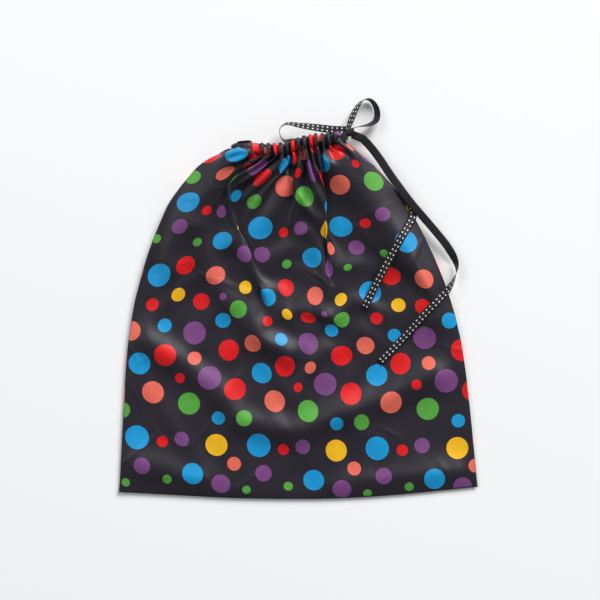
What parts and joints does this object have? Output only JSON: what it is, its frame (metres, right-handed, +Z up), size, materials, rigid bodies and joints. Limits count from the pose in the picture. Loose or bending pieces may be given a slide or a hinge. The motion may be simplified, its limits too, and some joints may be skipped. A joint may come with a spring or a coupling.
{
  "type": "drawstring dice bag",
  "caption": "Black cotton drawstring bag with a bright polka-dot print, its gathered mouth tied with a bow of narrow dotted ribbon.",
  "frame": {"origin": "middle of the bag on the table it lies on, without the ribbon", "axes": "+Z up out of the front, +Y towards the mouth, +X to the right of the front, where the bow is"},
  "size_m": [0.275, 0.3064, 0.0226],
  "materials": {
    "cloth": "matte",
    "thread": "matte",
    "ribbon": "satin"
  },
  "bodies": {
    "bag": {"back_panel": "cloth", "front_panel": "cloth", "front_casing": "cloth", "back_casing": "cloth", "left_seam": "cloth", "right_seam": "cloth", "bottom_seam": "cloth", "front_stitching": "thread", "back_stitching": "thread"},
    "drawstring": {"drawstring_run": "ribbon", "bow_knot": "ribbon", "bow_loop_left": "ribbon", "bow_loop_right": "ribbon", "tail_short": "ribbon", "tail_long": "ribbon"}
  },
  "joints": [
    {"name": "drawstring_pull", "type": "slide", "parent": "bag", "child": "drawstring", "axis": [0.9945, 0.1045, 0], "range_m": [0, 0.03], "deforming": ["front_casing", "back_casing"]}
  ]
}
